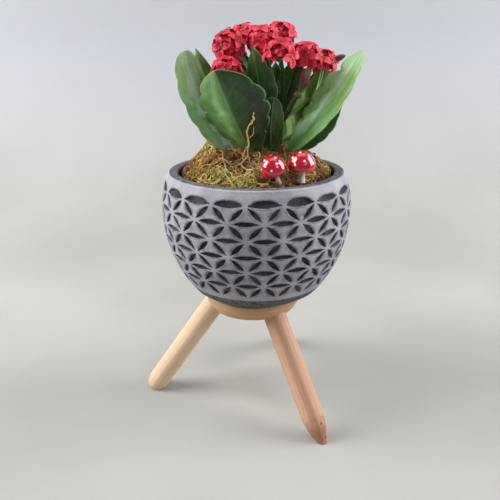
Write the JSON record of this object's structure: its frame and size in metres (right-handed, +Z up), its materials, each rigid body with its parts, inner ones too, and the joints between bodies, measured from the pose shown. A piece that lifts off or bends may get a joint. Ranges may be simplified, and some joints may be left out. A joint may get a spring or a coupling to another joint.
{
  "type": "potted kalanchoe on a wooden tripod",
  "caption": "Flowering kalanchoe with red flower heads in a carved grey cement bowl on a wooden plate with splayed dowel legs, with moss and toadstool picks.",
  "frame": {"origin": "on the ground, under the middle of the whole outline seen from above", "axes": "+Z up; -Y is the front that the picture shows; +X is to the right in the picture"},
  "size_m": [0.156, 0.1484, 0.276],
  "materials": {
    "cement": "matte cement",
    "wood": "plain sanded wood",
    "stem": null,
    "leaf": null,
    "petal": null,
    "bud": null,
    "pick": "painted stalk, matte",
    "cap": "glossy red with small white spots",
    "soil": null,
    "moss": null
  },
  "bodies": {
    "root": {"bowl": "cement", "plate": "wood", "leg_left": "wood", "leg_front": "wood", "leg_back": "wood", "stem": "stem", "leaf_far_left": "leaf", "leaf_left_inner": "leaf", "leaf_front_left": "leaf", "leaf_front": "leaf", "leaf_pointed": "leaf", "leaf_right_inner": "leaf", "leaf_far_right": "leaf", "leaf_right_low": "leaf", "leaf_back_left": "leaf", "leaf_back_right": "leaf", "leaf_back": "leaf", "flowers_left_low": "petal", "flowers_left": "petal", "flowers_top_left": "petal", "flowers_centre": "petal", "flowers_top": "petal", "flowers_front": "petal", "flowers_right": "petal", "flowers_far_right": "petal", "flowers_back_left": "petal", "flowers_back": "petal", "flowers_back_right": "petal", "buds_right": "bud", "toadstool_left_pick": "pick", "toadstool_left_cap": "cap", "toadstool_right_pick": "pick", "toadstool_right_cap": "cap", "soil": "soil", "moss": "moss"}
  },
  "joints": []
}
